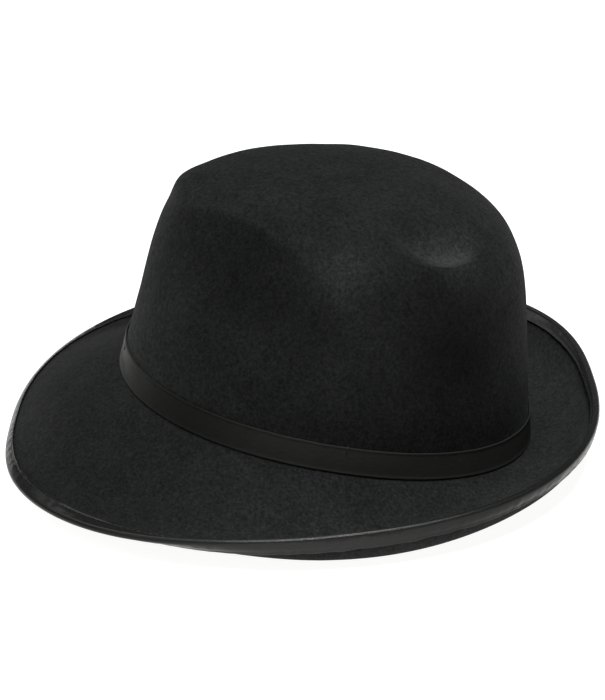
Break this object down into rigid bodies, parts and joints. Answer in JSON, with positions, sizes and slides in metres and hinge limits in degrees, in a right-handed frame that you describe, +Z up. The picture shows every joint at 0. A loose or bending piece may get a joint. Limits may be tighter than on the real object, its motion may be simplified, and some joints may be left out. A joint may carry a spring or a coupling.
{
  "type": "soft felt hat",
  "caption": "Soft felt hat with a tapered, dented crown, a ribbon band, and a bound brim that is down in front and rolled up at the sides and behind.",
  "frame": {"origin": "middle of the hat's footprint, on the surface that it lies on", "axes": "+Z up; -Y towards the front of the hat; +X towards the wearer's left; the hat leans back 11 degrees on its rolled brim"},
  "size_m": [0.286, 0.29, 0.1399],
  "materials": {
    "felt": "matt black fur felt",
    "ribbon": "black satin ribbon",
    "thread": "black sewing thread",
    "wire": "plain steel wire",
    "sweatband": "smooth black leather",
    "reed": "clear plastic reed",
    "tape": "black cotton tape",
    "lining": "black satin lining",
    "tab": "blank woven tab"
  },
  "bodies": {
    "root": {"felt_body": "felt", "brim_wire": "wire", "brim_binding": "ribbon", "binding_stitching": "thread", "hat_band": "ribbon", "band_overlap": "ribbon", "band_tack_front": "thread", "band_tack_left": "thread", "band_tack_back": "thread", "band_tack_right": "thread", "sweatband": "sweatband", "sweatband_reed": "reed", "reed_tape": "tape", "sweatband_stitching": "thread", "sweatband_joint_tape": "ribbon", "sweatband_bow": "ribbon", "size_tab": "tab", "lining_side": "lining", "lining_piping": "lining", "lining_tip": "lining"}
  },
  "joints": []
}
